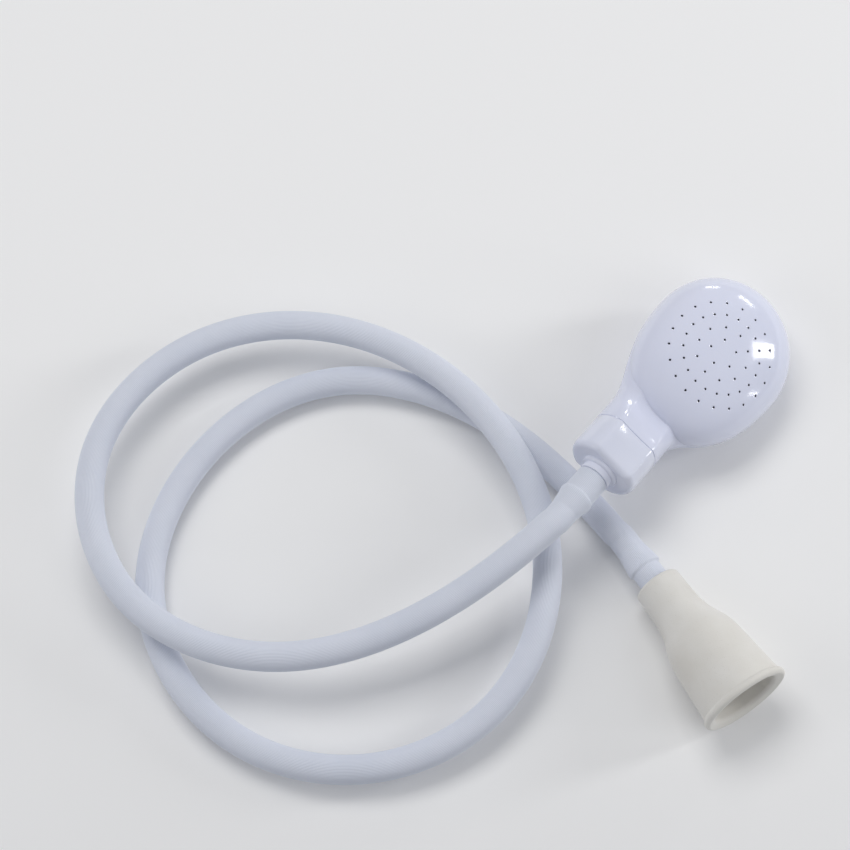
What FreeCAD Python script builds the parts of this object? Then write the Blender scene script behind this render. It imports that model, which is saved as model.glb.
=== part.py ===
import FreeCAD, Part
import math
import os
from FreeCAD import Matrix, Vector

# Handheld bath sprayer: spray head, ribbed PVC hose and push-on faucet adapter.
# Millimetres, +Z up, resting on the plane z = 0.
# The origin is the centre of the footprint on that plane.

os.makedirs("parts", exist_ok=True)

# ---------------------------------------------------------------- hose sizes
HOSE_R = 7.0
HOSE_BORE_R = 4.5
BALL_GAP = 0.1           # radial gap between a link's ball end and the next link's socket
RIM_GAP = 0.2            # extra length cut off a socket's rim
HOSE_OVER_TAIL_R = 5.85  # bore of a hose end where it sits on a tail
HOSE_SWELL_R = 8.45      # outside radius of the swelling near a hose end

# Hinge points of the hose in the rest coil, from the faucet adapter to the head:
# x, y, z, and the largest bend in degrees that the hinge has to allow between its links
HINGES = [
    (88.026, -3.204, 8.031, 33.6),
    (51.570, 36.816, 7.827, 34.5),
    (6.721, 67.205, 7.841, 34.3),
    (-46.610, 77.849, 7.880, 40.9),
    (-96.818, 56.983, 7.851, 36.0),
    (-130.590, 14.364, 7.816, 37.0),
    (-138.561, -39.430, 7.877, 42.5),
    (-113.730, -87.948, 8.252, 44.7),
    (-66.749, -115.267, 9.464, 52.9),
    (-12.431, -113.658, 11.763, 52.3),
    (33.117, -84.017, 15.144, 56.0),
    (53.308, -33.620, 19.039, 51.0),
    (45.582, 20.063, 21.699, 33.4),
    (14.838, 64.784, 22.733, 30.1),
    (-30.982, 93.870, 22.857, 32.4),
    (-84.889, 100.515, 22.738, 36.2),
    (-135.228, 80.027, 22.745, 39.8),
    (-166.529, 35.338, 22.878, 52.6),
    (-160.712, -18.994, 22.999, 60.3),
    (-121.990, -57.154, 23.799, 55.4),
    (-68.845, -66.789, 27.119, 40.1),
    (-41.320, -62.605, 30.304, 36.9),
    (-15.154, -53.290, 33.953, 26.9),
    (9.359, -40.240, 37.597, 32.6),
    (32.256, -24.446, 40.832, 25.8),
    (53.948, -6.832, 43.243, 43.1),
]

# ---------------------------------------------------------------- frames of the two ends
UP = (0, 0, 1)

# head: origin at the outer end face of the nut's grip, X along the neck towards the
# head's tip, Z out of the spray face
HEAD_ORIGIN = (76.815, 20.502, 38.151)
HEAD_X = (0.635200, 0.759286, -0.141441)
HEAD_Z = (0.310590, -0.083447, 0.946874)

# faucet adapter: origin at the small end, X towards the mouth
ADAPTER_ORIGIN = (104.308, -27.955, 12.751)
ADAPTER_X = (0.542736, -0.825038, 0.157321)

# ---------------------------------------------------------------- sizes of the barbed tails
TAIL_BORE_R = 3.6
TAIL_R = 5.0
BARB_FOOT_R = 5.1
BARB_TOP_R = 5.8
BARB_SLOPE = 2.4
BARB_LENGTH = 2.8
FLANGE_R = 9.6

# ---------------------------------------------------------------- faucet adapter sizes
ADAPTER_LENGTH = 68.0
ADAPTER_SMALL_R = 11.6
ADAPTER_MOUTH_R = 21.2
ADAPTER_LIP_R = 21.8
ADAPTER_SOCKET_R = 12.0           # round grip land that holds the tap spout
ADAPTER_SOCKET_X = (26.0, 44.0)
ADAPTER_MOUTH_BORE_R = 17.2
SLEEVE_R = 7.5                    # passage for the hose in the adapter's neck
POCKET_R = 9.7                    # pocket for the tail's flange
POCKET_X = (18.1, 23.6)
ADAPTER_FLANGE_X = (18.15, 20.4)
ADAPTER_HOSE_DEPTH = 18.0         # how far the hose end reaches into the neck

# ---------------------------------------------------------------- coupling nut and neck sizes
NUT_LENGTH = 19.6        # grip part of the nut
NUT_R = 17.8             # radius of the nut and neck
NUT_FLAT_HALF = 10.1     # half width of the hollow grip flats, one on top and one below
NUT_FLAT_R = 14.0        # height of the middle of each flat above the axis
NUT_ROUND_R = 2.4        # rounding of the four ridges beside the flats
RIDGE_TURN = 6.0         # degrees past upright where a ridge's rounding meets the flat
NUT_WALL = 2.0           # end wall of the nut
NUT_END_ROUND = 3.2      # rounding of the nut's outer end
COLLAR_R = 8.0
COLLAR_LENGTH = 5.0
COLLAR_FILLET = 1.8      # hollow rounding between collar and end wall
STEM_R = 5.50            # stem of the hose tail
STEM_BORE_R = 5.58       # bore in the nut's collar that the stem turns in
THREAD_R = 10.35         # thread bore of the nut, G 1/2 size, plain in this model
HEAD_FLANGE_X = (NUT_WALL + 0.1, NUT_WALL + 2.1)
WASHER_X = (4.2, 6.2)
WASHER_R = (6.2, 9.8)    # inside and outside

# ---------------------------------------------------------------- spray head sizes
SPIGOT_R = 10.25         # threaded spigot, plain in this model
SPIGOT_START = 6.35
NECK_START = NUT_LENGTH + 0.1
WATERWAY_R = 6.5

BULB_CENTRE = Vector(82.85, -5.08, 0.0)
BULB_HALF_L = 43.8
BULB_HALF_W = 36.9
BULB_HALF_T = 21.0
BULB_STRAIGHT = BULB_HALF_L - BULB_HALF_W   # half length of the straight middle
BULB_WALL = 2.2
BULB_CLEARANCE = 0.1     # gap between the neck and the face shell
# quarter of the arched section after its crown: share of half width, share of half height
ARCH = [(0.405, 0.945), (0.754, 0.735), (0.933, 0.447)]
SPLIT_Z = -2.0           # height of the joint between face shell and back shell
NECK_END = BULB_CENTRE.x - 12
WATERWAY_END = BULB_CENTRE.x - 20

NOZZLE_CENTRE = (79.5, -4.0)
NOZZLE_R = 0.6
NOZZLE_DRILL_Z = BULB_CENTRE.z + 8
NOZZLE_DRILL_LENGTH = 30
# ring radius, number of nozzles, direction of the first nozzle in degrees
NOZZLE_RINGS = [(26.2, 20, 51.0), (19.8, 20, 51.0), (13.3, 10, 69.0), (6.9, 5, 105.0)]

SEAL_OUTER_INSET = 0.75  # from the inside of the bulb's wall
SEAL_INNER_INSET = 2.6
SEAL_HALF_HEIGHT = 1.2
SEAL_WATERWAY_GAP = 1.0


# ---------------------------------------------------------------- helpers
def frame(origin, x_axis, z_hint):
    """Matrix from a local frame to the product's frame; Z is z_hint made square to X."""
    x = Vector(*x_axis)
    x.normalize()
    z = Vector(*z_hint)
    z = z - x * z.dot(x)
    z.normalize()
    y = z.cross(x)
    o = origin
    return Matrix(x.x, y.x, z.x, o[0],
                  x.y, y.y, z.y, o[1],
                  x.z, y.z, z.z, o[2],
                  0, 0, 0, 1)


def save(shape, matrix, name):
    """Move a shape from its local frame into place and write its STEP file."""
    placed = shape.copy()
    placed.transformShape(matrix, True)
    placed.exportStep("parts/" + name + ".step")


def largest(shape):
    """Largest solid of a boolean's result."""
    return max(shape.Solids, key=lambda solid: solid.Volume)


def outward(shape):
    """The solid of a sweep, turned so that its volume is positive."""
    solid = shape.Solids[0]
    if solid.Volume < 0:
        solid.reverse()
    return solid


def arc(start, middle, end):
    return Part.Arc(start, middle, end).toShape()


def revolve_x(points):
    """Solid of revolution about local X from a profile of (x, r) points, closed by a line.

    An entry ((xm, rm), (x, r)) is an arc through its first point to its second.
    """
    first = here = Vector(*points[0], 0)
    edges = []
    for point in points[1:]:
        if isinstance(point[0], tuple):
            end = Vector(*point[1], 0)
            edges.append(arc(here, Vector(*point[0], 0), end))
        else:
            end = Vector(*point, 0)
            edges.append(Part.makeLine(here, end))
        here = end
    edges.append(Part.makeLine(here, first))
    face = Part.Face(Part.Wire(edges))
    return outward(face.revolve(Vector(0, 0, 0), Vector(1, 0, 0), 360))


def cylinder_x(radius, x0, x1):
    return Part.makeCylinder(radius, x1 - x0, Vector(x0, 0, 0), Vector(1, 0, 0))


HEAD_FRAME = frame(HEAD_ORIGIN, HEAD_X, HEAD_Z)
ADAPTER_FRAME = frame(ADAPTER_ORIGIN, ADAPTER_X, UP)


# ---------------------------------------------------------------- hose
def hinge_point(index):
    return Vector(*HINGES[index][:3])


def ball_profile():
    """Ball end centred on x = 0: from the bore, over the ball, to the outside."""
    reach = math.sqrt(HOSE_R ** 2 - HOSE_BORE_R ** 2)
    middle = (math.atan2(HOSE_BORE_R, -reach) + math.pi / 2) / 2
    return [(-reach, HOSE_BORE_R),
            ((HOSE_R * math.cos(middle), HOSE_R * math.sin(middle)), (0, HOSE_R))]


def socket_profile(length, bend):
    """Socket end for a hinge at x = length: from the outside, over the rim, to the bore.

    The rim stops short of the hinge to leave room for the bend.
    """
    cut = HOSE_R * math.sin(math.radians(bend)) + RIM_GAP
    socket_r = HOSE_R + BALL_GAP
    reach = math.sqrt(socket_r ** 2 - HOSE_BORE_R ** 2)
    rim = (length - cut, HOSE_R)
    if cut >= reach - 0.05:
        # the cut takes the whole socket away and leaves a flat end
        return [rim, (length - cut, HOSE_BORE_R)]
    middle = (math.acos(cut / socket_r) + math.acos(reach / socket_r)) / 2
    on_socket = (length - socket_r * math.cos(middle), socket_r * math.sin(middle))
    return [rim, (length - cut, math.sqrt(socket_r ** 2 - cut ** 2)),
            (on_socket, (length - reach, HOSE_BORE_R))]


def save_hose_link(index):
    """Link from hinge index - 1, where its ball is, to hinge index."""
    start = hinge_point(index - 1)
    along = hinge_point(index) - start
    link = revolve_x(ball_profile() + socket_profile(along.Length, HINGES[index][3]))
    save(link, frame(start, along, UP), "hose_link_%02d" % index)


def save_hose_end_adapter():
    """Hose end in the adapter's neck; local X runs out of the neck to the first hinge."""
    reach = (hinge_point(0) - Vector(*ADAPTER_ORIGIN)).Length
    profile = [(-ADAPTER_HOSE_DEPTH, HOSE_OVER_TAIL_R), (-ADAPTER_HOSE_DEPTH, 7.40), (8.2, 7.40),
               (8.9, HOSE_SWELL_R), (10.6, HOSE_SWELL_R), (20.5, HOSE_R)]
    profile += socket_profile(reach, HINGES[0][3])
    profile += [(15.5, HOSE_BORE_R), (14.0, HOSE_OVER_TAIL_R)]
    outwards = Vector(*ADAPTER_X) * -1
    save(revolve_x(profile), frame(ADAPTER_ORIGIN, outwards, UP), "hose_end_adapter")


def save_hose_end_head():
    """Hose end at the head; local X runs from the last hinge to the nut."""
    reach = (hinge_point(-1) - Vector(*HEAD_ORIGIN)).Length
    # distance out along the hose from the end face of the nut's grip, radius
    stations = [
        (27.5, HOSE_R), (19.4, HOSE_SWELL_R), (17.9, HOSE_SWELL_R), (17.2, 7.85),
        (COLLAR_LENGTH + 0.6, 7.85), (COLLAR_LENGTH + 0.2, 7.45),
        (COLLAR_LENGTH + 0.2, HOSE_OVER_TAIL_R), (21.6, HOSE_OVER_TAIL_R), (23.0, HOSE_BORE_R),
    ]
    profile = ball_profile() + [(reach - out, radius) for out, radius in stations]
    save(revolve_x(profile), frame(HINGES[-1], HEAD_X, UP), "hose_end_head")


# ---------------------------------------------------------------- barbed tails
def barb(x):
    return [(x, BARB_FOOT_R), (x + BARB_SLOPE, BARB_TOP_R), (x + BARB_LENGTH, BARB_TOP_R),
            (x + BARB_LENGTH, TAIL_R)]


def tail(barb_starts, stem, flange_x):
    """Tube with two barbs, an optional stem and an end flange."""
    first, second = barb_starts
    start, end = flange_x
    neck_r = stem[-1][1] if stem else TAIL_R
    return revolve_x([(first, TAIL_BORE_R)] + barb(first) + [(second, TAIL_R)] + barb(second)
                     + stem + [(start, neck_r), (start, FLANGE_R), (end, FLANGE_R),
                               (end, TAIL_BORE_R)])


def adapter_tail():
    return tail((-13.6, -4.0), [], ADAPTER_FLANGE_X)


def hose_tail_head():
    """Tail whose stem turns in the nut's collar."""
    return tail((-21.4, -13.0), [(-5.3, TAIL_R), (-5.3, STEM_R)], HEAD_FLANGE_X)


# ---------------------------------------------------------------- faucet adapter
def faucet_adapter():
    """Straight neck, S-curved flare and a slowly widening cup with a raised lip."""
    length = ADAPTER_LENGTH
    socket_start, socket_end = ADAPTER_SOCKET_X
    outer = [
        (0.0, ADAPTER_SMALL_R - 2.2),
        ((0.62, ADAPTER_SMALL_R - 0.62), (2.2, ADAPTER_SMALL_R)),
        (16.0, 12.1),
        ((23.0, 13.1), (29.0, 15.4)),
        ((35.0, 17.7), (41.0, 18.7)),
        (length - 3.2, ADAPTER_MOUTH_R),
        ((length - 1.6, ADAPTER_LIP_R), (length - 0.4, ADAPTER_LIP_R - 0.2)),
        (length, ADAPTER_LIP_R - 0.8),
    ]
    # from the flared mouth over the grip land and the flange pocket to the neck's passage
    inner = [
        (length, ADAPTER_MOUTH_BORE_R),
        (length - 8.0, ADAPTER_MOUTH_BORE_R - 0.9),
        ((52.0, 14.4), (socket_end, ADAPTER_SOCKET_R)),
        (socket_start, ADAPTER_SOCKET_R),
        (socket_start - 0.6, 11.2),
        (POCKET_X[1], POCKET_R),
        (POCKET_X[0], POCKET_R),
        (POCKET_X[0], SLEEVE_R),
        (0.0, SLEEVE_R),
    ]
    return revolve_x(outer + inner)


# ---------------------------------------------------------------- washer and coupling nut
def sealing_washer():
    start, end = WASHER_X
    inside_r, outside_r = WASHER_R
    return revolve_x([(start, inside_r), (start, outside_r), (end, outside_r), (end, inside_r)])


def grip_prism(x0, x1):
    """Round bar with a hollow grip flat above and below, whose four ridges are rounded."""
    # centre of a ridge's rounding, inside the circle
    centre_y = NUT_FLAT_HALF * (NUT_R - NUT_ROUND_R) / NUT_R
    centre_z = math.sqrt((NUT_R - NUT_ROUND_R) ** 2 - centre_y ** 2)
    at_circle = math.atan2(centre_z, centre_y)
    at_flat = math.radians(90 + RIDGE_TURN)

    def ridge(side_y, side_z):
        """Points of a rounding from the circle to the flat."""
        return [Vector(x0, side_y * (centre_y + NUT_ROUND_R * math.cos(angle)),
                       side_z * (centre_z + NUT_ROUND_R * math.sin(angle)))
                for angle in (at_circle, (at_circle + at_flat) / 2, at_flat)]

    edges = []
    for side in (1, -1):
        # once over the top from +Y to -Y, then once underneath from -Y to +Y
        near, far = ridge(side, side), ridge(-side, side)
        next_start = ridge(-side, -side)[0]
        edges += [arc(*near),
                  arc(near[2], Vector(x0, 0, side * NUT_FLAT_R), far[2]),
                  arc(far[2], far[1], far[0]),
                  arc(far[0], Vector(x0, -side * NUT_R, 0), next_start)]
    return Part.Face(Part.Wire(edges)).extrude(Vector(x1 - x0, 0, 0))


def coupling_nut():
    rounded_end = revolve_x([
        (0, 0), (0, NUT_R - NUT_END_ROUND), ((0.94, NUT_R - 0.94), (NUT_END_ROUND, NUT_R)),
        (NUT_END_ROUND + 0.1, NUT_R + 3), (NUT_LENGTH, NUT_R + 3), (NUT_LENGTH, 0),
    ])
    nut = largest(grip_prism(0, NUT_LENGTH).common(rounded_end))
    collar = revolve_x([
        (-COLLAR_LENGTH, 0), (-COLLAR_LENGTH, COLLAR_R - 0.4), (-COLLAR_LENGTH + 0.4, COLLAR_R),
        (-COLLAR_FILLET, COLLAR_R), ((-0.53, COLLAR_R + 0.53), (0, COLLAR_R + COLLAR_FILLET)),
        (1.0, COLLAR_R + COLLAR_FILLET), (1.0, 0),
    ])
    nut = largest(nut.fuse(collar))
    nut = largest(nut.cut(cylinder_x(STEM_BORE_R, -COLLAR_LENGTH - 1, NUT_WALL + 1)))
    return largest(nut.cut(cylinder_x(THREAD_R, NUT_WALL, NUT_LENGTH + 1)))


# ---------------------------------------------------------------- spray head
def bulb(shrink):
    """Solid head: an arched section turned about Z at both ends of a short straight middle.

    shrink thins it all round.
    """
    def section(sides):
        """Section in the YZ plane, with its +Y half, its -Y half or both."""
        def point(y, z):
            return Vector(0, y * (BULB_HALF_W - shrink), z * (BULB_HALF_T - shrink))

        edges = []
        for side in sides:
            for level in (1, -1):
                upper, knee, lower = [point(side * y, level * z) for y, z in ARCH]
                edges += [arc(point(0, level), upper, knee), arc(knee, lower, point(side, 0))]
        if len(sides) == 1:
            edges.append(Part.makeLine(point(0, 1), point(0, -1)))
        return Part.Face(Part.Wire(Part.__sortEdges__(edges)))

    middle = section((1, -1)).extrude(Vector(2 * BULB_STRAIGHT, 0, 0))
    middle.translate(Vector(-BULB_STRAIGHT, 0, 0))
    tip_end = section((-1,)).revolve(Vector(0, 0, 0), Vector(0, 0, 1), 180)
    neck_end = section((1,)).revolve(Vector(0, 0, 0), Vector(0, 0, 1), 180)
    tip_end.translate(Vector(BULB_STRAIGHT, 0, 0))
    neck_end.translate(Vector(-BULB_STRAIGHT, 0, 0))
    fused = outward(middle).fuse([outward(tip_end), outward(neck_end)])
    solid = largest(largest(fused).removeSplitter())
    solid.translate(BULB_CENTRE)
    return solid


def outline_prism(half_w, z0, z1):
    """Upright solid with the head's outline in plan."""
    end_x = BULB_STRAIGHT
    corners = [Vector(-end_x, half_w, z0), Vector(end_x, half_w, z0),
               Vector(end_x, -half_w, z0), Vector(-end_x, -half_w, z0)]
    edges = [Part.makeLine(corners[0], corners[1]),
             arc(corners[1], Vector(end_x + half_w, 0, z0), corners[2]),
             Part.makeLine(corners[2], corners[3]),
             arc(corners[3], Vector(-end_x - half_w, 0, z0), corners[0])]
    solid = Part.Face(Part.Wire(edges)).extrude(Vector(0, 0, z1 - z0))
    solid.translate(Vector(BULB_CENTRE.x, BULB_CENTRE.y, 0))
    return solid


def split_block(bottom):
    """Block 100 high, wider than the head."""
    return Part.makeBox(300, 300, 100, Vector(-100, -150, bottom))


ABOVE_SPLIT = split_block(SPLIT_Z)
BELOW_SPLIT = split_block(SPLIT_Z - 100)
BULB_OUTSIDE = bulb(0.0)
BULB_INSIDE = bulb(BULB_WALL)
WATERWAY = cylinder_x(WATERWAY_R, 0, WATERWAY_END)


def face_shell():
    """Upper half of the head, with rings of nozzle holes."""
    shell = largest(BULB_OUTSIDE.cut(BULB_INSIDE).common(ABOVE_SPLIT))
    shell = largest(shell.cut(WATERWAY))
    for radius, number, first_direction in NOZZLE_RINGS:
        drills = []
        for i in range(number):
            angle = math.radians(first_direction - 360.0 * i / number)
            foot = Vector(NOZZLE_CENTRE[0] + radius * math.cos(angle),
                          NOZZLE_CENTRE[1] + radius * math.sin(angle), NOZZLE_DRILL_Z)
            drills.append(Part.makeCylinder(NOZZLE_R, NOZZLE_DRILL_LENGTH, foot))
        shell = largest(shell.cut(drills))
    return shell


def back_shell():
    """Lower half of the head, neck and threaded spigot in one moulding."""
    lower = largest(BULB_OUTSIDE.common(BELOW_SPLIT))
    neck = grip_prism(NECK_START, NECK_END)
    neck = largest(neck.cut(bulb(-BULB_CLEARANCE).common(ABOVE_SPLIT)))
    spigot = cylinder_x(SPIGOT_R, SPIGOT_START, NECK_START + 2)
    shell = largest(lower.fuse([neck, spigot]))
    return largest(shell.cut([BULB_INSIDE, WATERWAY]))


def head_seal():
    """Gasket ring lying inside the joint between the two shells."""
    inside_half_w = BULB_HALF_W - BULB_WALL
    seal = outline_prism(inside_half_w - SEAL_OUTER_INSET,
                         SPLIT_Z - SEAL_HALF_HEIGHT, SPLIT_Z + SEAL_HALF_HEIGHT)
    seal = seal.cut(outline_prism(inside_half_w - SEAL_INNER_INSET, SPLIT_Z - 2, SPLIT_Z + 2))
    return largest(seal.cut(cylinder_x(WATERWAY_R + SEAL_WATERWAY_GAP, 0, WATERWAY_END)))


# ---------------------------------------------------------------- build
for i in range(1, len(HINGES)):
    save_hose_link(i)
save_hose_end_adapter()
save_hose_end_head()
for build in (adapter_tail, faucet_adapter):
    save(build(), ADAPTER_FRAME, build.__name__)
for build in (hose_tail_head, sealing_washer, coupling_nut, face_shell, back_shell, head_seal):
    save(build(), HEAD_FRAME, build.__name__)
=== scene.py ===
# Handheld bath sprayer: a ribbed hose from a soft faucet adapter to a coupling nut and an
# egg-shaped spray head, lying on the floor z = 0 with the nozzle face upwards.
# Lengths are millimetres until a mesh is made. The scene is in metres, +Z up.
# Head frame (nut, neck and head): x from the nut's hose end to the head's tip, y across,
# z out of the nozzle face. Adapter frame: x towards its mouth, z as near to up as it can be.
import math

import bmesh
import bpy
import numpy as np
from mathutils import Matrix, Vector
from mathutils.geometry import delaunay_2d_cdt


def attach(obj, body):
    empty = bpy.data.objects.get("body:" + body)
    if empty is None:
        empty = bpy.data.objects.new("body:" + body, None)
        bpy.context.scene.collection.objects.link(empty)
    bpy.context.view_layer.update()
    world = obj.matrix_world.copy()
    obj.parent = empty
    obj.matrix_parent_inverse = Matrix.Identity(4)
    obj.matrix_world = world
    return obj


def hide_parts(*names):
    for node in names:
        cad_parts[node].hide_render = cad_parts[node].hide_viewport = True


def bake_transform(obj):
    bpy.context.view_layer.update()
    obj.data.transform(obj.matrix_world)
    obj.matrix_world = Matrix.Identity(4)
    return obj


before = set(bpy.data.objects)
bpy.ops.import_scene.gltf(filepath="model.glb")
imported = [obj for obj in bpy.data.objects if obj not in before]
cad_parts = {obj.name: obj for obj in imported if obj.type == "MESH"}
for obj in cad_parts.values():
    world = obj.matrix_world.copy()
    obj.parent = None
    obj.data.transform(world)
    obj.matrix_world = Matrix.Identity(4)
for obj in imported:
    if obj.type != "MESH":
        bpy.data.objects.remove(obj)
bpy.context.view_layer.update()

MM = 0.001
UP = np.array([0.0, 0.0, 1.0])

# ---------------------------------------------------------------- frames: origin and axes
SCENE_FRAME = (np.zeros(3), np.eye(3))
HEAD_AXES = np.array([
    [0.6352001, 0.7592862, -0.1414405],
    [-0.7071456, 0.6453845, 0.2888321],
    [0.3105897, -0.0834471, 0.9468741],
])
HEAD_FRAME = (np.array([76.8148, 20.5023, 38.1510]), HEAD_AXES)

ADAPTER_X = np.array([0.5427362, -0.8250379, 0.1573210])
ADAPTER_Z = UP - ADAPTER_X * (UP @ ADAPTER_X)
ADAPTER_Z /= np.linalg.norm(ADAPTER_Z)
ADAPTER_AXES = np.array([ADAPTER_X, np.cross(ADAPTER_Z, ADAPTER_X), ADAPTER_Z])
ADAPTER_FRAME = (np.array([104.3077, -27.9547, 12.7510]), ADAPTER_AXES)

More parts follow.
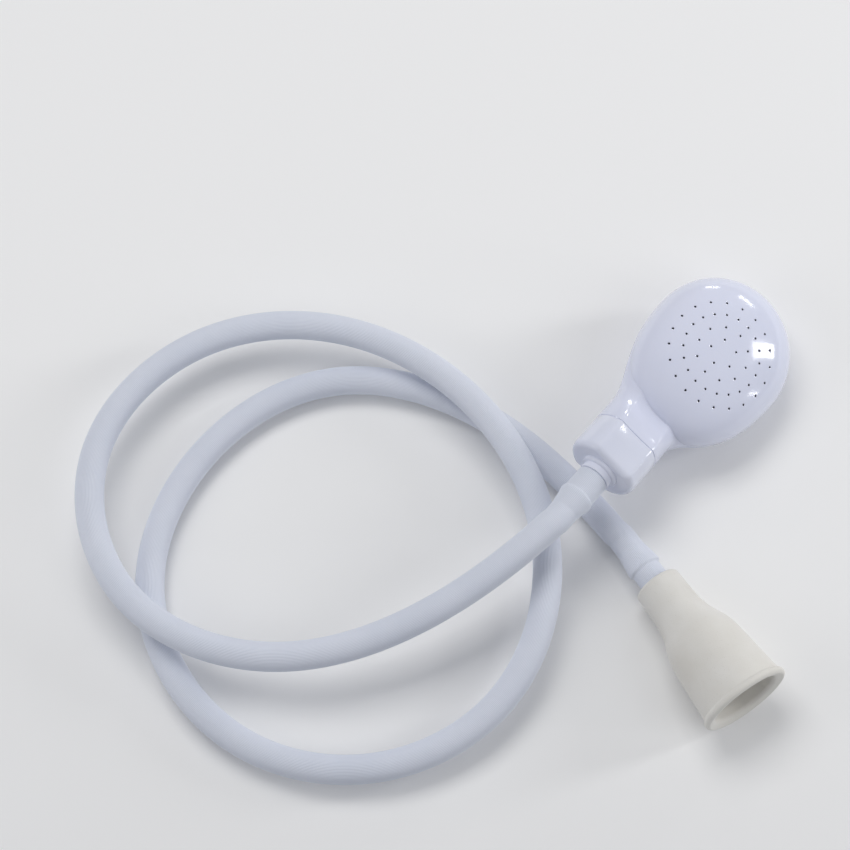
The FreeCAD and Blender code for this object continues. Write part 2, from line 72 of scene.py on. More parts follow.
# ---------------------------------------------------------------- hose measurements
# stations on the hose's centre line, from adapter to head: x, y, z
PATH = np.array([
    [111.906, -39.505, 14.953], [110.230, -36.957, 14.468], [108.554, -34.409, 13.982],
    [106.878, -31.861, 13.496], [105.201, -29.313, 13.010], [103.525, -26.765, 12.524],
    [101.849, -24.217, 12.038], [100.834, -22.674, 11.744], [100.617, -22.344, 11.681],
    [100.400, -22.014, 11.618], [100.183, -21.684, 11.555], [99.966, -21.354, 11.492],
    [99.749, -21.024, 11.430], [99.532, -20.694, 11.367], [99.315, -20.364, 11.304],
    [99.097, -20.034, 11.241], [98.880, -19.704, 11.178], [98.663, -19.374, 11.115],
    [98.497, -19.121, 11.067], [98.229, -18.714, 10.989], [98.012, -18.384, 10.926],
    [97.795, -18.054, 10.863], [97.578, -17.724, 10.800], [97.361, -17.394, 10.737],
    [97.144, -17.064, 10.674], [96.927, -16.734, 10.611], [96.821, -16.573, 10.581],
    [96.709, -16.404, 10.549], [96.492, -16.074, 10.486], [96.275, -15.744, 10.423],
    [96.058, -15.414, 10.360], [95.841, -15.084, 10.297], [95.624, -14.754, 10.234],
    [95.407, -14.424, 10.171], [95.190, -14.094, 10.108], [94.973, -13.764, 10.045],
    [94.756, -13.434, 9.982], [94.538, -13.104, 9.919], [94.321, -12.774, 9.856],
    [94.104, -12.444, 9.793], [93.887, -12.114, 9.730], [93.670, -11.784, 9.668],
    [93.468, -11.477, 9.609], [93.236, -11.124, 9.542], [93.019, -10.794, 9.479],
    [92.802, -10.464, 9.416], [92.585, -10.134, 9.353], [91.792, -8.930, 9.123],
    [90.116, -6.382, 8.637], [88.440, -3.834, 8.152], [85.923, -1.912, 8.363],
    [83.982, 0.489, 8.300], [82.028, 2.880, 8.242], [80.061, 5.261, 8.188],
    [78.080, 7.629, 8.140], [76.082, 9.983, 8.096], [74.067, 12.324, 8.056],
    [72.034, 14.648, 8.019], [69.981, 16.955, 7.987], [67.846, 19.311, 7.957],
    [65.687, 21.647, 7.930], [63.504, 23.959, 7.907], [61.296, 26.247, 7.886],
    [59.061, 28.510, 7.869], [56.799, 30.745, 7.854], [54.508, 32.950, 7.842],
    [52.187, 35.125, 7.831], [49.836, 37.266, 7.823], [47.454, 39.373, 7.817],
    [45.039, 41.442, 7.813], [42.592, 43.473, 7.810], [40.111, 45.463, 7.808],
    [37.596, 47.409, 7.808], [35.047, 49.310, 7.809], [32.463, 51.163, 7.810],
    [29.843, 52.967, 7.813], [27.189, 54.718, 7.815], [24.499, 56.415, 7.819],
    [21.775, 58.055, 7.822], [19.016, 59.636, 7.825], [16.223, 61.157, 7.829],
    [13.397, 62.616, 7.832], [10.540, 64.013, 7.836], [7.653, 65.345, 7.839],
    [4.736, 66.611, 7.843], [1.790, 67.810, 7.846], [-1.183, 68.938, 7.849],
    [-4.183, 69.994, 7.852], [-7.207, 70.976, 7.856], [-10.256, 71.881, 7.859],
    [-13.327, 72.707, 7.861], [-16.419, 73.450, 7.864], [-19.530, 74.108, 7.867],
    [-22.659, 74.677, 7.869], [-25.803, 75.154, 7.871], [-28.960, 75.536, 7.873],
    [-32.127, 75.819, 7.875], [-35.302, 76.000, 7.877], [-38.481, 76.075, 7.878],
    [-41.661, 76.040, 7.879], [-44.838, 75.893, 7.880], [-48.007, 75.628, 7.880],
    [-51.163, 75.245, 7.880], [-54.303, 74.740, 7.880], [-57.421, 74.115, 7.880],
    [-60.513, 73.374, 7.879], [-63.576, 72.519, 7.878], [-66.606, 71.555, 7.876],
    [-69.601, 70.484, 7.875], [-72.556, 69.310, 7.873], [-75.470, 68.037, 7.871],
    [-78.340, 66.667, 7.868], [-81.164, 65.206, 7.866], [-83.940, 63.654, 7.863],
    [-86.667, 62.017, 7.861], [-89.341, 60.297, 7.858], [-91.963, 58.497, 7.855],
    [-94.529, 56.619, 7.852], [-97.040, 54.667, 7.850], [-99.492, 52.643, 7.847],
    [-101.886, 50.550, 7.844], [-104.219, 48.389, 7.841], [-106.490, 46.163, 7.838],
    [-108.698, 43.874, 7.836], [-110.841, 41.525, 7.833], [-112.918, 39.117, 7.831],
    [-114.927, 36.651, 7.828], [-116.866, 34.131, 7.826], [-118.734, 31.558, 7.824],
    [-120.530, 28.933, 7.822], [-122.250, 26.258, 7.821], [-123.893, 23.536, 7.819],
    [-125.457, 20.767, 7.818], [-126.940, 17.954, 7.817], [-128.339, 15.098, 7.817],
    [-129.652, 12.202, 7.816], [-130.877, 9.267, 7.816], [-132.010, 6.296, 7.817],
    [-133.049, 3.290, 7.817], [-133.991, 0.253, 7.819], [-134.834, -2.813, 7.820],
    [-135.574, -5.906, 7.822], [-136.208, -9.022, 7.825], [-136.733, -12.158, 7.828],
    [-137.147, -15.311, 7.831], [-137.447, -18.477, 7.836], [-137.629, -21.652, 7.840],
    [-137.691, -24.831, 7.845], [-137.631, -28.011, 7.851], [-137.448, -31.185, 7.858],
    [-137.139, -34.350, 7.865], [-136.707, -37.501, 7.873], [-136.155, -40.632, 7.881],
    [-135.485, -43.741, 7.891], [-134.703, -46.823, 7.902], [-133.810, -49.875, 7.913],
    [-132.810, -52.894, 7.927], [-131.707, -55.876, 7.941], [-130.501, -58.819, 7.958],
    [-129.198, -61.719, 7.976], [-127.798, -64.575, 7.995], [-126.305, -67.382, 8.017],
    [-124.720, -70.139, 8.041], [-123.046, -72.843, 8.066], [-121.286, -75.491, 8.094],
    [-119.440, -78.080, 8.125], [-117.511, -80.608, 8.158], [-115.500, -83.072, 8.194],
    [-113.410, -85.468, 8.232], [-111.242, -87.794, 8.273], [-108.997, -90.046, 8.318],
    [-106.677, -92.221, 8.365], [-104.285, -94.315, 8.416], [-101.822, -96.325, 8.470],
    [-99.289, -98.248, 8.528], [-96.690, -100.078, 8.590], [-94.027, -101.815, 8.655],
    [-91.304, -103.456, 8.725], [-88.525, -105.001, 8.798], [-85.695, -106.450, 8.874],
    [-82.818, -107.801, 8.955], [-79.897, -109.054, 9.039], [-76.935, -110.209, 9.127],
    [-73.937, -111.266, 9.218], [-70.906, -112.224, 9.314], [-67.846, -113.083, 9.413],
    [-64.760, -113.843, 9.516], [-61.651, -114.503, 9.623], [-58.523, -115.064, 9.733],
    [-55.379, -115.526, 9.847], [-52.221, -115.887, 9.965], [-49.055, -116.149, 10.087],
    [-45.881, -116.310, 10.213], [-42.704, -116.371, 10.342], [-39.527, -116.331, 10.475],
    [-36.353, -116.189, 10.612], [-33.186, -115.947, 10.753], [-30.028, -115.603, 10.898],
    [-26.883, -115.156, 11.047], [-23.754, -114.609, 11.200], [-20.644, -113.962, 11.356],
    [-17.557, -113.217, 11.516], [-14.495, -112.373, 11.680], [-11.462, -111.433, 11.848],
    [-8.460, -110.397, 12.019], [-5.494, -109.266, 12.194], [-2.565, -108.041, 12.373],
    [0.323, -106.722, 12.556], [3.167, -105.310, 12.742], [5.962, -103.807, 12.932],
    [8.706, -102.212, 13.126], [11.396, -100.526, 13.323], [14.026, -98.750, 13.525],
    [16.593, -96.885, 13.729], [19.094, -94.932, 13.937], [21.524, -92.891, 14.149],
    [23.879, -90.765, 14.364], [26.153, -88.554, 14.583], [28.344, -86.259, 14.805],
    [30.445, -83.883, 15.030], [32.454, -81.428, 15.258], [34.366, -78.898, 15.489],
    [36.181, -76.297, 15.722], [37.898, -73.631, 15.957], [39.518, -70.905, 16.192],
    [41.040, -68.122, 16.429], [42.464, -65.289, 16.665], [43.790, -62.408, 16.900],
    [45.019, -59.485, 17.135], [46.151, -56.522, 17.369], [47.186, -53.525, 17.601],
    [48.125, -50.495, 17.831], [48.968, -47.437, 18.058], [49.716, -44.354, 18.282],
    [50.368, -41.250, 18.503], [50.925, -38.126, 18.720], [51.386, -34.987, 18.934],
    [51.753, -31.835, 19.142], [52.024, -28.674, 19.346], [52.199, -25.505, 19.545],
    [52.279, -22.331, 19.738], [52.262, -19.157, 19.925], [52.148, -15.984, 20.106],
    [51.936, -12.816, 20.279], [51.628, -9.655, 20.446], [51.224, -6.505, 20.606],
    [50.725, -3.368, 20.759], [50.134, -0.247, 20.905], [49.452, 2.856, 21.045],
    [48.680, 5.938, 21.178], [47.821, 8.997, 21.305], [46.876, 12.031, 21.425],
    [45.847, 15.038, 21.539], [44.736, 18.016, 21.647], [43.545, 20.963, 21.750],
    [42.276, 23.877, 21.846], [40.930, 26.757, 21.937], [39.509, 29.600, 22.023],
    [38.016, 32.407, 22.103], [36.452, 35.175, 22.179], [34.819, 37.903, 22.249],
    [33.118, 40.589, 22.315], [31.352, 43.232, 22.376], [29.521, 45.832, 22.433],
    [27.627, 48.387, 22.485], [25.673, 50.895, 22.534], [23.659, 53.355, 22.578],
    [21.587, 55.768, 22.619], [19.459, 58.130, 22.656], [17.275, 60.441, 22.689],
    [15.037, 62.701, 22.719], [12.747, 64.906, 22.746], [10.405, 67.058, 22.770],
    [8.013, 69.154, 22.791], [5.573, 71.193, 22.809], [3.085, 73.173, 22.825],
    [0.551, 75.095, 22.838], [-2.028, 76.955, 22.849], [-4.651, 78.753, 22.858],
    [-7.316, 80.488, 22.864], [-10.022, 82.158, 22.869], [-12.769, 83.761, 22.872],
    [-15.553, 85.297, 22.873], [-18.375, 86.763, 22.873], [-21.233, 88.158, 22.872],
    [-24.125, 89.480, 22.869], [-27.050, 90.728, 22.865], [-30.006, 91.901, 22.860],
    [-32.992, 92.996, 22.855], [-36.005, 94.012, 22.848], [-39.045, 94.947, 22.842],
    [-42.108, 95.800, 22.834], [-45.194, 96.569, 22.827], [-48.299, 97.253, 22.820],
    [-51.422, 97.852, 22.812], [-54.561, 98.366, 22.804], [-57.712, 98.792, 22.797],
    [-60.874, 99.132, 22.789], [-64.044, 99.383, 22.782], [-67.220, 99.546, 22.774],
    [-70.399, 99.620, 22.767], [-73.579, 99.604, 22.760], [-76.757, 99.497, 22.754],
    [-79.931, 99.298, 22.747], [-83.098, 99.007, 22.741], [-86.255, 98.623, 22.736],
    [-89.398, 98.145, 22.731], [-92.526, 97.572, 22.726], [-95.635, 96.903, 22.722],
    [-98.722, 96.139, 22.719], [-101.783, 95.278, 22.716], [-104.816, 94.321, 22.715],
    [-107.816, 93.266, 22.713], [-110.780, 92.115, 22.713], [-113.705, 90.866, 22.714],
    [-116.586, 89.521, 22.715], [-119.421, 88.080, 22.718], [-122.206, 86.545, 22.721],
    [-124.939, 84.919, 22.725], [-127.617, 83.204, 22.730], [-130.238, 81.403, 22.736],
    [-132.798, 79.517, 22.742], [-135.296, 77.549, 22.748], [-137.727, 75.500, 22.756],
    [-140.090, 73.371, 22.763], [-142.380, 71.164, 22.771], [-144.594, 68.882, 22.779],
    [-146.729, 66.525, 22.788], [-148.779, 64.095, 22.796], [-150.743, 61.593, 22.805],
    [-152.614, 59.022, 22.814], [-154.388, 56.383, 22.822], [-156.060, 53.678, 22.831],
    [-157.626, 50.910, 22.839], [-159.079, 48.082, 22.847], [-160.415, 45.196, 22.855],
    [-161.627, 42.256, 22.862], [-162.710, 39.266, 22.869], [-163.658, 36.231, 22.875],
    [-164.467, 33.156, 22.880], [-165.133, 30.047, 22.885], [-165.657, 26.910, 22.889],
    [-166.043, 23.754, 22.893], [-166.291, 20.584, 22.897], [-166.404, 17.406, 22.901],
    [-166.384, 14.226, 22.904], [-166.233, 11.049, 22.909], [-165.954, 7.882, 22.914],
    [-165.549, 4.728, 22.919], [-165.019, 1.592, 22.925], [-164.367, -1.520, 22.933],
    [-163.594, -4.605, 22.941], [-162.702, -7.657, 22.951], [-161.692, -10.672, 22.962],
    [-160.565, -13.646, 22.975], [-159.323, -16.573, 22.990], [-157.967, -19.449, 23.007],
    [-156.499, -22.270, 23.026], [-154.918, -25.029, 23.048], [-153.226, -27.721, 23.072],
    [-151.425, -30.342, 23.099], [-149.516, -32.885, 23.129], [-147.500, -35.343, 23.161],
    [-145.379, -37.712, 23.197], [-143.158, -39.988, 23.237], [-140.845, -42.169, 23.281],
    [-138.444, -44.255, 23.330], [-135.963, -46.243, 23.384], [-133.408, -48.135, 23.444],
    [-130.784, -49.931, 23.510], [-128.097, -51.630, 23.583], [-125.352, -53.233, 23.664],
    [-122.554, -54.742, 23.752], [-119.708, -56.156, 23.849], [-116.817, -57.476, 23.954],
    [-113.886, -58.705, 24.068], [-110.918, -59.841, 24.193], [-107.918, -60.886, 24.328],
    [-104.888, -61.841, 24.473], [-101.832, -62.705, 24.630], [-98.752, -63.481, 24.800],
    [-95.653, -64.166, 24.982], [-92.559, -64.759, 25.175], [-89.450, -65.263, 25.383],
    [-86.329, -65.679, 25.604], [-83.199, -66.007, 25.842], [-80.062, -66.245, 26.094],
    [-76.921, -66.394, 26.363], [-73.778, -66.456, 26.647], [-70.636, -66.431, 26.945],
    [-67.497, -66.321, 27.256], [-64.364, -66.128, 27.580], [-61.238, -65.854, 27.916],
    [-58.121, -65.500, 28.263], [-55.014, -65.069, 28.620], [-51.965, -64.571, 28.981],
    [-48.929, -64.002, 29.350], [-45.907, -63.365, 29.727], [-42.901, -62.661, 30.110],
    [-39.911, -61.893, 30.499], [-36.939, -61.062, 30.894], [-33.985, -60.172, 31.293],
    [-31.050, -59.223, 31.696], [-28.134, -58.218, 32.103], [-25.237, -57.160, 32.511],
    [-22.360, -56.049, 32.922], [-19.503, -54.888, 33.334], [-16.667, -53.678, 33.747],
    [-13.851, -52.422, 34.160], [-11.056, -51.121, 34.572], [-8.281, -49.775, 34.984],
    [-5.526, -48.388, 35.394], [-2.792, -46.960, 35.802], [-0.079, -45.493, 36.207],
    [2.614, -43.988, 36.609], [5.287, -42.447, 37.007], [7.939, -40.870, 37.401],
    [10.572, -39.258, 37.791], [13.185, -37.613, 38.175], [15.778, -35.937, 38.553],
    [18.351, -34.228, 38.925], [20.905, -32.490, 39.291], [23.440, -30.722, 39.648],
    [25.956, -28.925, 39.998], [28.452, -27.101, 40.338], [30.930, -25.249, 40.670],
    [33.390, -23.371, 40.991], [35.831, -21.468, 41.302], [38.254, -19.539, 41.601],
    [40.658, -17.586, 41.888], [43.045, -15.608, 42.162], [45.480, -13.550, 42.429],
    [47.897, -11.468, 42.680], [50.295, -9.362, 42.915], [52.674, -7.233, 43.131],
    [55.218, -5.313, 42.960], [57.251, -2.884, 42.507], [58.648, -1.213, 42.196],
    [58.902, -0.909, 42.140], [59.156, -0.606, 42.083], [59.283, -0.454, 42.055],
    [59.410, -0.302, 42.026], [59.664, 0.002, 41.970], [59.919, 0.305, 41.913],
    [60.173, 0.609, 41.857], [60.427, 0.913, 41.800], [60.681, 1.217, 41.744],
    [60.935, 1.520, 41.687], [61.189, 1.824, 41.630], [61.316, 1.976, 41.602],
    [61.443, 2.128, 41.574], [61.697, 2.431, 41.517], [61.951, 2.735, 41.461],
    [62.205, 3.039, 41.404], [62.459, 3.343, 41.348], [62.713, 3.646, 41.291],
    [62.967, 3.950, 41.234], [63.222, 4.254, 41.178], [63.349, 4.406, 41.150],
    [63.476, 4.557, 41.121], [63.730, 4.861, 41.065], [63.984, 5.165, 41.008],
    [64.238, 5.469, 40.952], [64.492, 5.772, 40.895], [64.746, 6.076, 40.838],
    [65.000, 6.380, 40.782], [65.254, 6.683, 40.725], [65.381, 6.835, 40.697],
    [65.508, 6.987, 40.669], [65.762, 7.291, 40.612], [66.016, 7.595, 40.555],
    [66.271, 7.898, 40.499], [66.525, 8.202, 40.442], [67.414, 9.265, 40.244],
    [69.447, 11.695, 39.792], [71.479, 14.124, 39.339], [72.368, 15.187, 39.141],
    [72.877, 15.795, 39.028], [73.035, 15.985, 38.993], [73.162, 16.136, 38.964],
    [73.258, 16.250, 38.943], [73.353, 16.364, 38.922], [73.512, 16.554, 38.886],
])
# outside radius at each station: a collar at either end and plain hose between
HOSE_R = 7.0
ADAPTER_END_RADII = [7.4] * 11 + [
    7.424, 7.724, 8.239, 8.443, 8.450, 8.450, 8.448, 8.429, 8.362, 8.304, 8.245, 8.186,
    8.128, 8.069, 8.011, 7.982, 7.952, 7.893, 7.835, 7.776, 7.718, 7.659, 7.601, 7.542,
    7.483, 7.425, 7.366, 7.308, 7.249, 7.190, 7.132, 7.077, 7.021, 7.001,
]
HEAD_END_RADII = [
    7.001, 7.007, 7.025, 7.090, 7.161, 7.233, 7.304, 7.376, 7.448, 7.519, 7.555, 7.591,
    7.662, 7.734, 7.806, 7.877, 7.949, 8.020, 8.092, 8.128, 8.164, 8.235, 8.307, 8.378,
    8.435, 8.450, 8.450, 8.446, 8.415, 8.330, 8.035, 7.864,
] + [7.85] * 7 + [7.848, 7.824, 7.769, 7.683, 7.531]
PLAIN_COUNT = len(PATH) - len(ADAPTER_END_RADII) - len(HEAD_END_RADII)
RADII = np.array(ADAPTER_END_RADII + [HOSE_R] * PLAIN_COUNT + HEAD_END_RADII)

# stations where the hose skin is cut into pieces
CUTS = [0, *range(58, 382, 17), 394, 403, 412, 421, 430, 482]


# ---------------------------------------------------------------- geometry helpers
def unit(vectors):
    return vectors / np.maximum(np.linalg.norm(vectors, axis=-1, keepdims=True), 1e-12)


def smooth_step(x):
    x = np.clip(x, 0, 1)
    return x * x * (3 - 2 * x)


def smooth_min(first, second, width):
    """The smaller value, rounded over where the two are within width of each other."""
    share = np.clip(0.5 + 0.5 * (first - second) / width, 0, 1)
    return first * (1 - share) + second * share - width * share * (1 - share)


def circle_angles(count):
    return np.linspace(0, 2 * math.pi, count, endpoint=False)


def along_axes(vectors, axes, origin=0.0):
    """Local vectors in the scene's axes, as points if an origin is given."""
    return sum((vectors[:, i:i + 1] * axes[i] for i in range(3)), origin)


def ring(x, radius, angles):
    """Points round local x; radius is a number or one value for each angle."""
    return np.stack([np.full(len(angles), float(x)),
                     radius * np.cos(angles), radius * np.sin(angles)], -1)


def line(start, end, steps):
    return [(start[0] + (end[0] - start[0]) * i / steps,
             start[1] + (end[1] - start[1]) * i / steps) for i in range(steps + 1)]


def arc(start, middle, end, steps):
    """steps + 1 points of the arc from start through middle to end."""
    ax, ay = start
    bx, by = middle
    cx, cy = end
    a2, b2, c2 = ax * ax + ay * ay, bx * bx + by * by, cx * cx + cy * cy
    scale = 2 * (ax * (by - cy) + bx * (cy - ay) + cx * (ay - by))
    centre_x = (a2 * (by - cy) + b2 * (cy - ay) + c2 * (ay - by)) / scale
    centre_y = (a2 * (cx - bx) + b2 * (ax - cx) + c2 * (bx - ax)) / scale
    radius = math.hypot(ax - centre_x, ay - centre_y)
    first, via, last = (math.atan2(y - centre_y, x - centre_x) for x, y in (start, middle, end))
    sweep = (last - first) % (2 * math.pi)
    if (via - first) % (2 * math.pi) > sweep:
        sweep -= 2 * math.pi
    turns = [first + sweep * i / steps for i in range(steps + 1)]
    return [(centre_x + radius * math.cos(t), centre_y + radius * math.sin(t)) for t in turns]


def joined(*runs):
    """One outline from runs that each start where the one before ends."""
    return runs[0] + [point for run in runs[1:] for point in run[1:]]


def split_at_corners(profile, degrees):
    """Runs of the profile, cut at each corner sharper than this."""
    runs = [[profile[0]]]
    for before, here, after in zip(profile, profile[1:], profile[2:]):
        way_in = math.atan2(here[1] - before[1], here[0] - before[0])
        way_out = math.atan2(after[1] - here[1], after[0] - here[0])
        runs[-1].append(here)
        if abs((math.degrees(way_out - way_in) + 180) % 360 - 180) > degrees:
            runs.append([here])
    runs[-1].append(profile[-1])
    return runs


class Patches:
    """Points and faces gathered patch by patch. Patches share no points."""

    def __init__(self):
        self.points, self.normals, self.faces, self.slots = [], [], [], []
        self.count = 0

    def add(self, points, faces, normals=None, slot=0):
        self.points.append(points)
        if normals is not None:
            self.normals.append(normals)
        self.faces += [tuple(self.count + i for i in face) for face in faces]
        self.slots += [slot] * len(faces)
        self.count += len(points)

    def add_grid(self, rows, normals=None, closed=True, flip=False, slot=0):
        """Quads between rows of points; closed joins each row's end to its start."""
        columns = len(rows[0])
        faces = []
        for i in range(len(rows) - 1):
            for j in range(columns if closed else columns - 1):
                a = i * columns + j
                b = i * columns + (j + 1) % columns
                quad = (a, b, b + columns, a + columns)
                faces.append(quad[::-1] if flip else quad)
        if normals is not None:
            normals = np.reshape(normals, (-1, 3))
        self.add(np.reshape(rows, (-1, 3)), faces, normals, slot)

    def build(self, name, materials, frame=SCENE_FRAME):
        """Smooth-shaded object, with its own normals if they were given."""
        origin, axes = frame
        points = along_axes(np.concatenate(self.points), axes, origin)
        mesh = bpy.data.meshes.new(name)
        mesh.from_pydata((points * MM).tolist(), [], self.faces)
        mesh.update()
        mesh.polygons.foreach_set("use_smooth", np.ones(len(mesh.polygons), bool))
        for each in materials:
            mesh.materials.append(each)
        if any(self.slots):
            mesh.polygons.foreach_set("material_index", np.array(self.slots, np.int32))
        if self.normals:
            normals = along_axes(np.concatenate(self.normals), axes)
            mesh.normals_split_custom_set_from_vertices(normals.tolist())
        mesh.update()
        obj = bpy.data.objects.new(name, mesh)
        bpy.context.scene.collection.objects.link(obj)
        return obj


def turned(name, runs, angles, frame, surface):
    """Object turned about local x from runs of (x, radius)."""
    patches = Patches()
    for run in runs:
        patches.add_grid([ring(x, radius, angles) for x, radius in run])
    return patches.build(name, (surface,), frame)


# ---------------------------------------------------------------- materials
MIX_FACTOR, MIX_A, MIX_B, MIX_RESULT = 0, 6, 7, 2  # colour sockets of a Mix node


def linear(rgb):
    """Linear colour from 0-255 sRGB."""
    parts = [c / 255.0 for c in rgb]
    return (*(c / 12.92 if c <= 0.04045 else ((c + 0.055) / 1.055) ** 2.4 for c in parts), 1.0)


def material(name, base, other, rough, scale, fine, bump, coat=0.0, subsurface=0.0,
             sheen=0.0, speck=None, groove_and_shade=None):
    """Plastic or rubber: colour drifting from base to other, smudged roughness, fine grain.

    scale sizes the colour drift and smudges, fine and bump the grain. speck is the colour of
    scattered specks, groove the colour of painted shade in rib grooves, laid on where the mesh's
    groove attribute is high."""
    made = bpy.data.materials.new(name)
    made.use_nodes = True
    tree = made.node_tree
    tree.nodes.clear()
    link = tree.links.new

    def add(kind, values=()):
        node = tree.nodes.new("ShaderNode" + kind)
        for socket, value in dict(values).items():
            node.inputs[socket].default_value = value
        return node

    def mixed(factor, colour, other_colour):
        node = add("Mix")
        node.data_type = "RGBA"
        link(factor, node.inputs[MIX_FACTOR])
        link(colour, node.inputs[MIX_A])
        node.inputs[MIX_B].default_value = linear(other_colour)
        return node.outputs[MIX_RESULT]

    output = add("OutputMaterial")
    shader = add("BsdfPrincipled", {"Coat Weight": coat, "Coat Roughness": 0.06, "IOR": 1.49,
                                    "Sheen Weight": sheen})
    link(shader.outputs[0], output.inputs[0])
    place = add("TexCoord").outputs["Object"]

    tone_and_shade = add("TexNoise", {"Scale": scale, "Detail": 4.0, "Roughness": 0.55})
    link(place, tone_and_shade.inputs["Vector"])
    ramp = add("ValToRGB")
    for stop, position, rgb in zip(ramp.color_ramp.elements, (0.35, 0.65), (other, base)):
        stop.position = position
        stop.color = linear(rgb)
    link(tone_and_shade.outputs["Fac"], ramp.inputs["Fac"])
    colour = ramp.outputs["Color"]

    smudge = add("TexNoise", {"Scale": scale * 2.7, "Detail": 6.0, "Distortion": 0.6})
    link(place, smudge.inputs["Vector"])
    roughness = add("MapRange", {"From Min": 0.3, "From Max": 0.7,
                                 "To Min": rough[0], "To Max": rough[1]})
    link(smudge.outputs["Fac"], roughness.inputs["Value"])
    link(roughness.outputs[0], shader.inputs["Roughness"])

    grain = add("TexNoise", {"Scale": fine, "Detail": 3.0})
    link(place, grain.inputs["Vector"])
    relief = add("Bump", {"Strength": bump, "Distance": 0.0002})
    link(grain.outputs["Fac"], relief.inputs["Height"])
    link(relief.outputs[0], shader.inputs["Normal"])

    if speck:
        cells = add("TexVoronoi", {"Scale": fine * 0.45})
        link(place, cells.inputs["Vector"])
        spots = add("Math", {1: 0.13})  # speck radius, as a share of a cell
        spots.operation = "LESS_THAN"
        link(cells.outputs["Distance"], spots.inputs[0])
        strength = add("Math", {1: 0.5})
        strength.operation = "MULTIPLY"
        link(spots.outputs[0], strength.inputs[0])
        colour = mixed(strength.outputs[0], colour, speck)
    # painted shade in the hose's rib grooves: this colour is mixed in by the mesh's groove
    # attribute
    if groove_and_shade:
        attribute = add("Attribute")
        attribute.attribute_name = "groove_and_shade"
        colour = mixed(attribute.outputs["Fac"], colour, groove_and_shade)
    link(colour, shader.inputs["Base Color"])
    if subsurface:
        shader.inputs["Subsurface Weight"].default_value = subsurface
        shader.inputs["Subsurface Scale"].default_value = 0.004
        shader.inputs["Subsurface Radius"].default_value = (1.0, 0.9, 0.8)
    return made


# the groove colour below is painted shade for the bottoms of the hose's rib grooves
HOSE_PVC = material(
    "hose_pvc_ribbed", base=(232, 236, 246), other=(224, 229, 240), rough=(0.36, 0.48),
    scale=18, fine=700, bump=0.06, subsurface=0.06, groove_and_shade=(186, 191, 208))
HEAD_GLOSS = material(
    "head_glossy", base=(227, 230, 247), other=(221, 225, 243), rough=(0.10, 0.17),
    scale=9, fine=500, bump=0.012, coat=0.35, subsurface=0.05)
NUT_GLOSS = material(
    "nut_glossy", base=(230, 233, 247), other=(223, 227, 243), rough=(0.12, 0.20),
    scale=12, fine=500, bump=0.016, coat=0.3, subsurface=0.05)
ADAPTER_MATTE = material(
    "adapter_matte", base=(231, 229, 224), other=(223, 220, 213), rough=(0.62, 0.80),
    scale=30, fine=1500, bump=0.30, sheen=0.15, speck=(212, 208, 200))
TAIL_WHITE = material(
    "tail_white", base=(226, 226, 222), other=(214, 214, 209), rough=(0.32, 0.45),
    scale=40, fine=900, bump=0.05)
SEAL_BLACK = material(
    "seal_black", base=(44, 44, 47), other=(30, 30, 33), rough=(0.55, 0.75),
    scale=60, fine=1200, bump=0.2)
NOZZLE_SHADOW = material(
    "nozzle_shadow", base=(165, 170, 200), other=(146, 151, 184), rough=(0.5, 0.7),
    scale=60, fine=900, bump=0.05)

# ---------------------------------------------------------------- hose: one ribbed skin in pieces
RIBS = 64
HOSE_COLUMNS = RIBS * 4
HOSE_BORE_R = 5.9
HOSE_BORE_DEPTH = 6.0
GROOVE_SHADE = 0.42  # strength of the painted shade at the bottom of the rib grooves


def carried_sides(tangents):
    """A side direction at each station, carried along without twist by double reflection."""
    sides = np.zeros_like(tangents)
    first = np.cross(tangents[0], UP)
    sides[0] = first / np.linalg.norm(first)
    for i in range(1, len(tangents)):
        step = PATH[i] - PATH[i - 1]
        size = max(step @ step, 1e-12)
        side = sides[i - 1] - 2 / size * (step @ sides[i - 1]) * step
        tangent = tangents[i - 1] - 2 / size * (step @ tangents[i - 1]) * step
        turn = tangents[i] - tangent
        size = max(turn @ turn, 1e-12)
        side = side - 2 / size * (turn @ side) * turn
        side -= tangents[i] * (side @ tangents[i])
        sides[i] = side / np.linalg.norm(side)
    return sides


